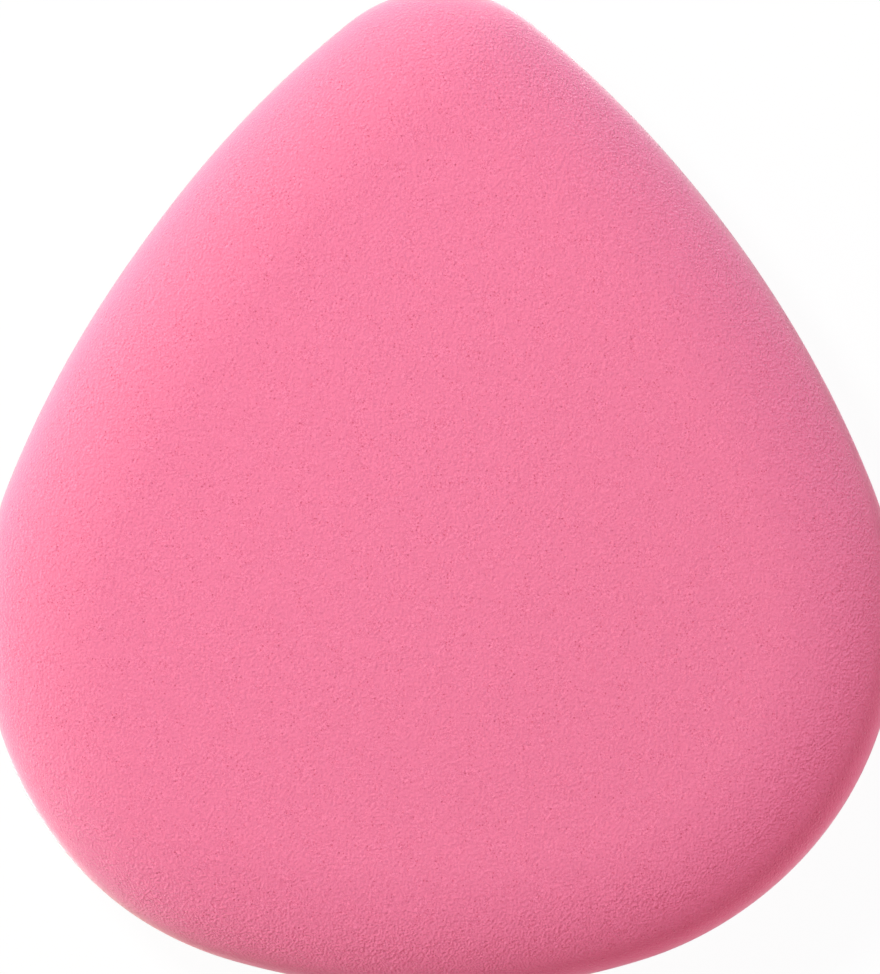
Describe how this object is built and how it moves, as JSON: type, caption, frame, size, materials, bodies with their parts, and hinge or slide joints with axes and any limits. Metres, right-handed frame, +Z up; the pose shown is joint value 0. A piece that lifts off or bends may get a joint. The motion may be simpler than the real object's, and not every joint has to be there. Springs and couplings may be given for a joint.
{
  "type": "makeup sponge",
  "caption": "Flat teardrop makeup sponge of fine open-cell foam, with a full-round rim, a narrow tip for small areas and a broad base for dabbing and blending cosmetics.",
  "frame": {"origin": "on the flat underside that the sponge lies on, in the middle of its overall length and width", "axes": "+Z up out of the upper face, +Y along the length towards the narrow tip, +X across the width to the right"},
  "size_m": [0.0604, 0.066, 0.0132],
  "materials": {
    "pink_foam": "matte fine open-cell foam"
  },
  "bodies": {
    "root": {"sponge_body": "pink_foam"}
  },
  "joints": []
}
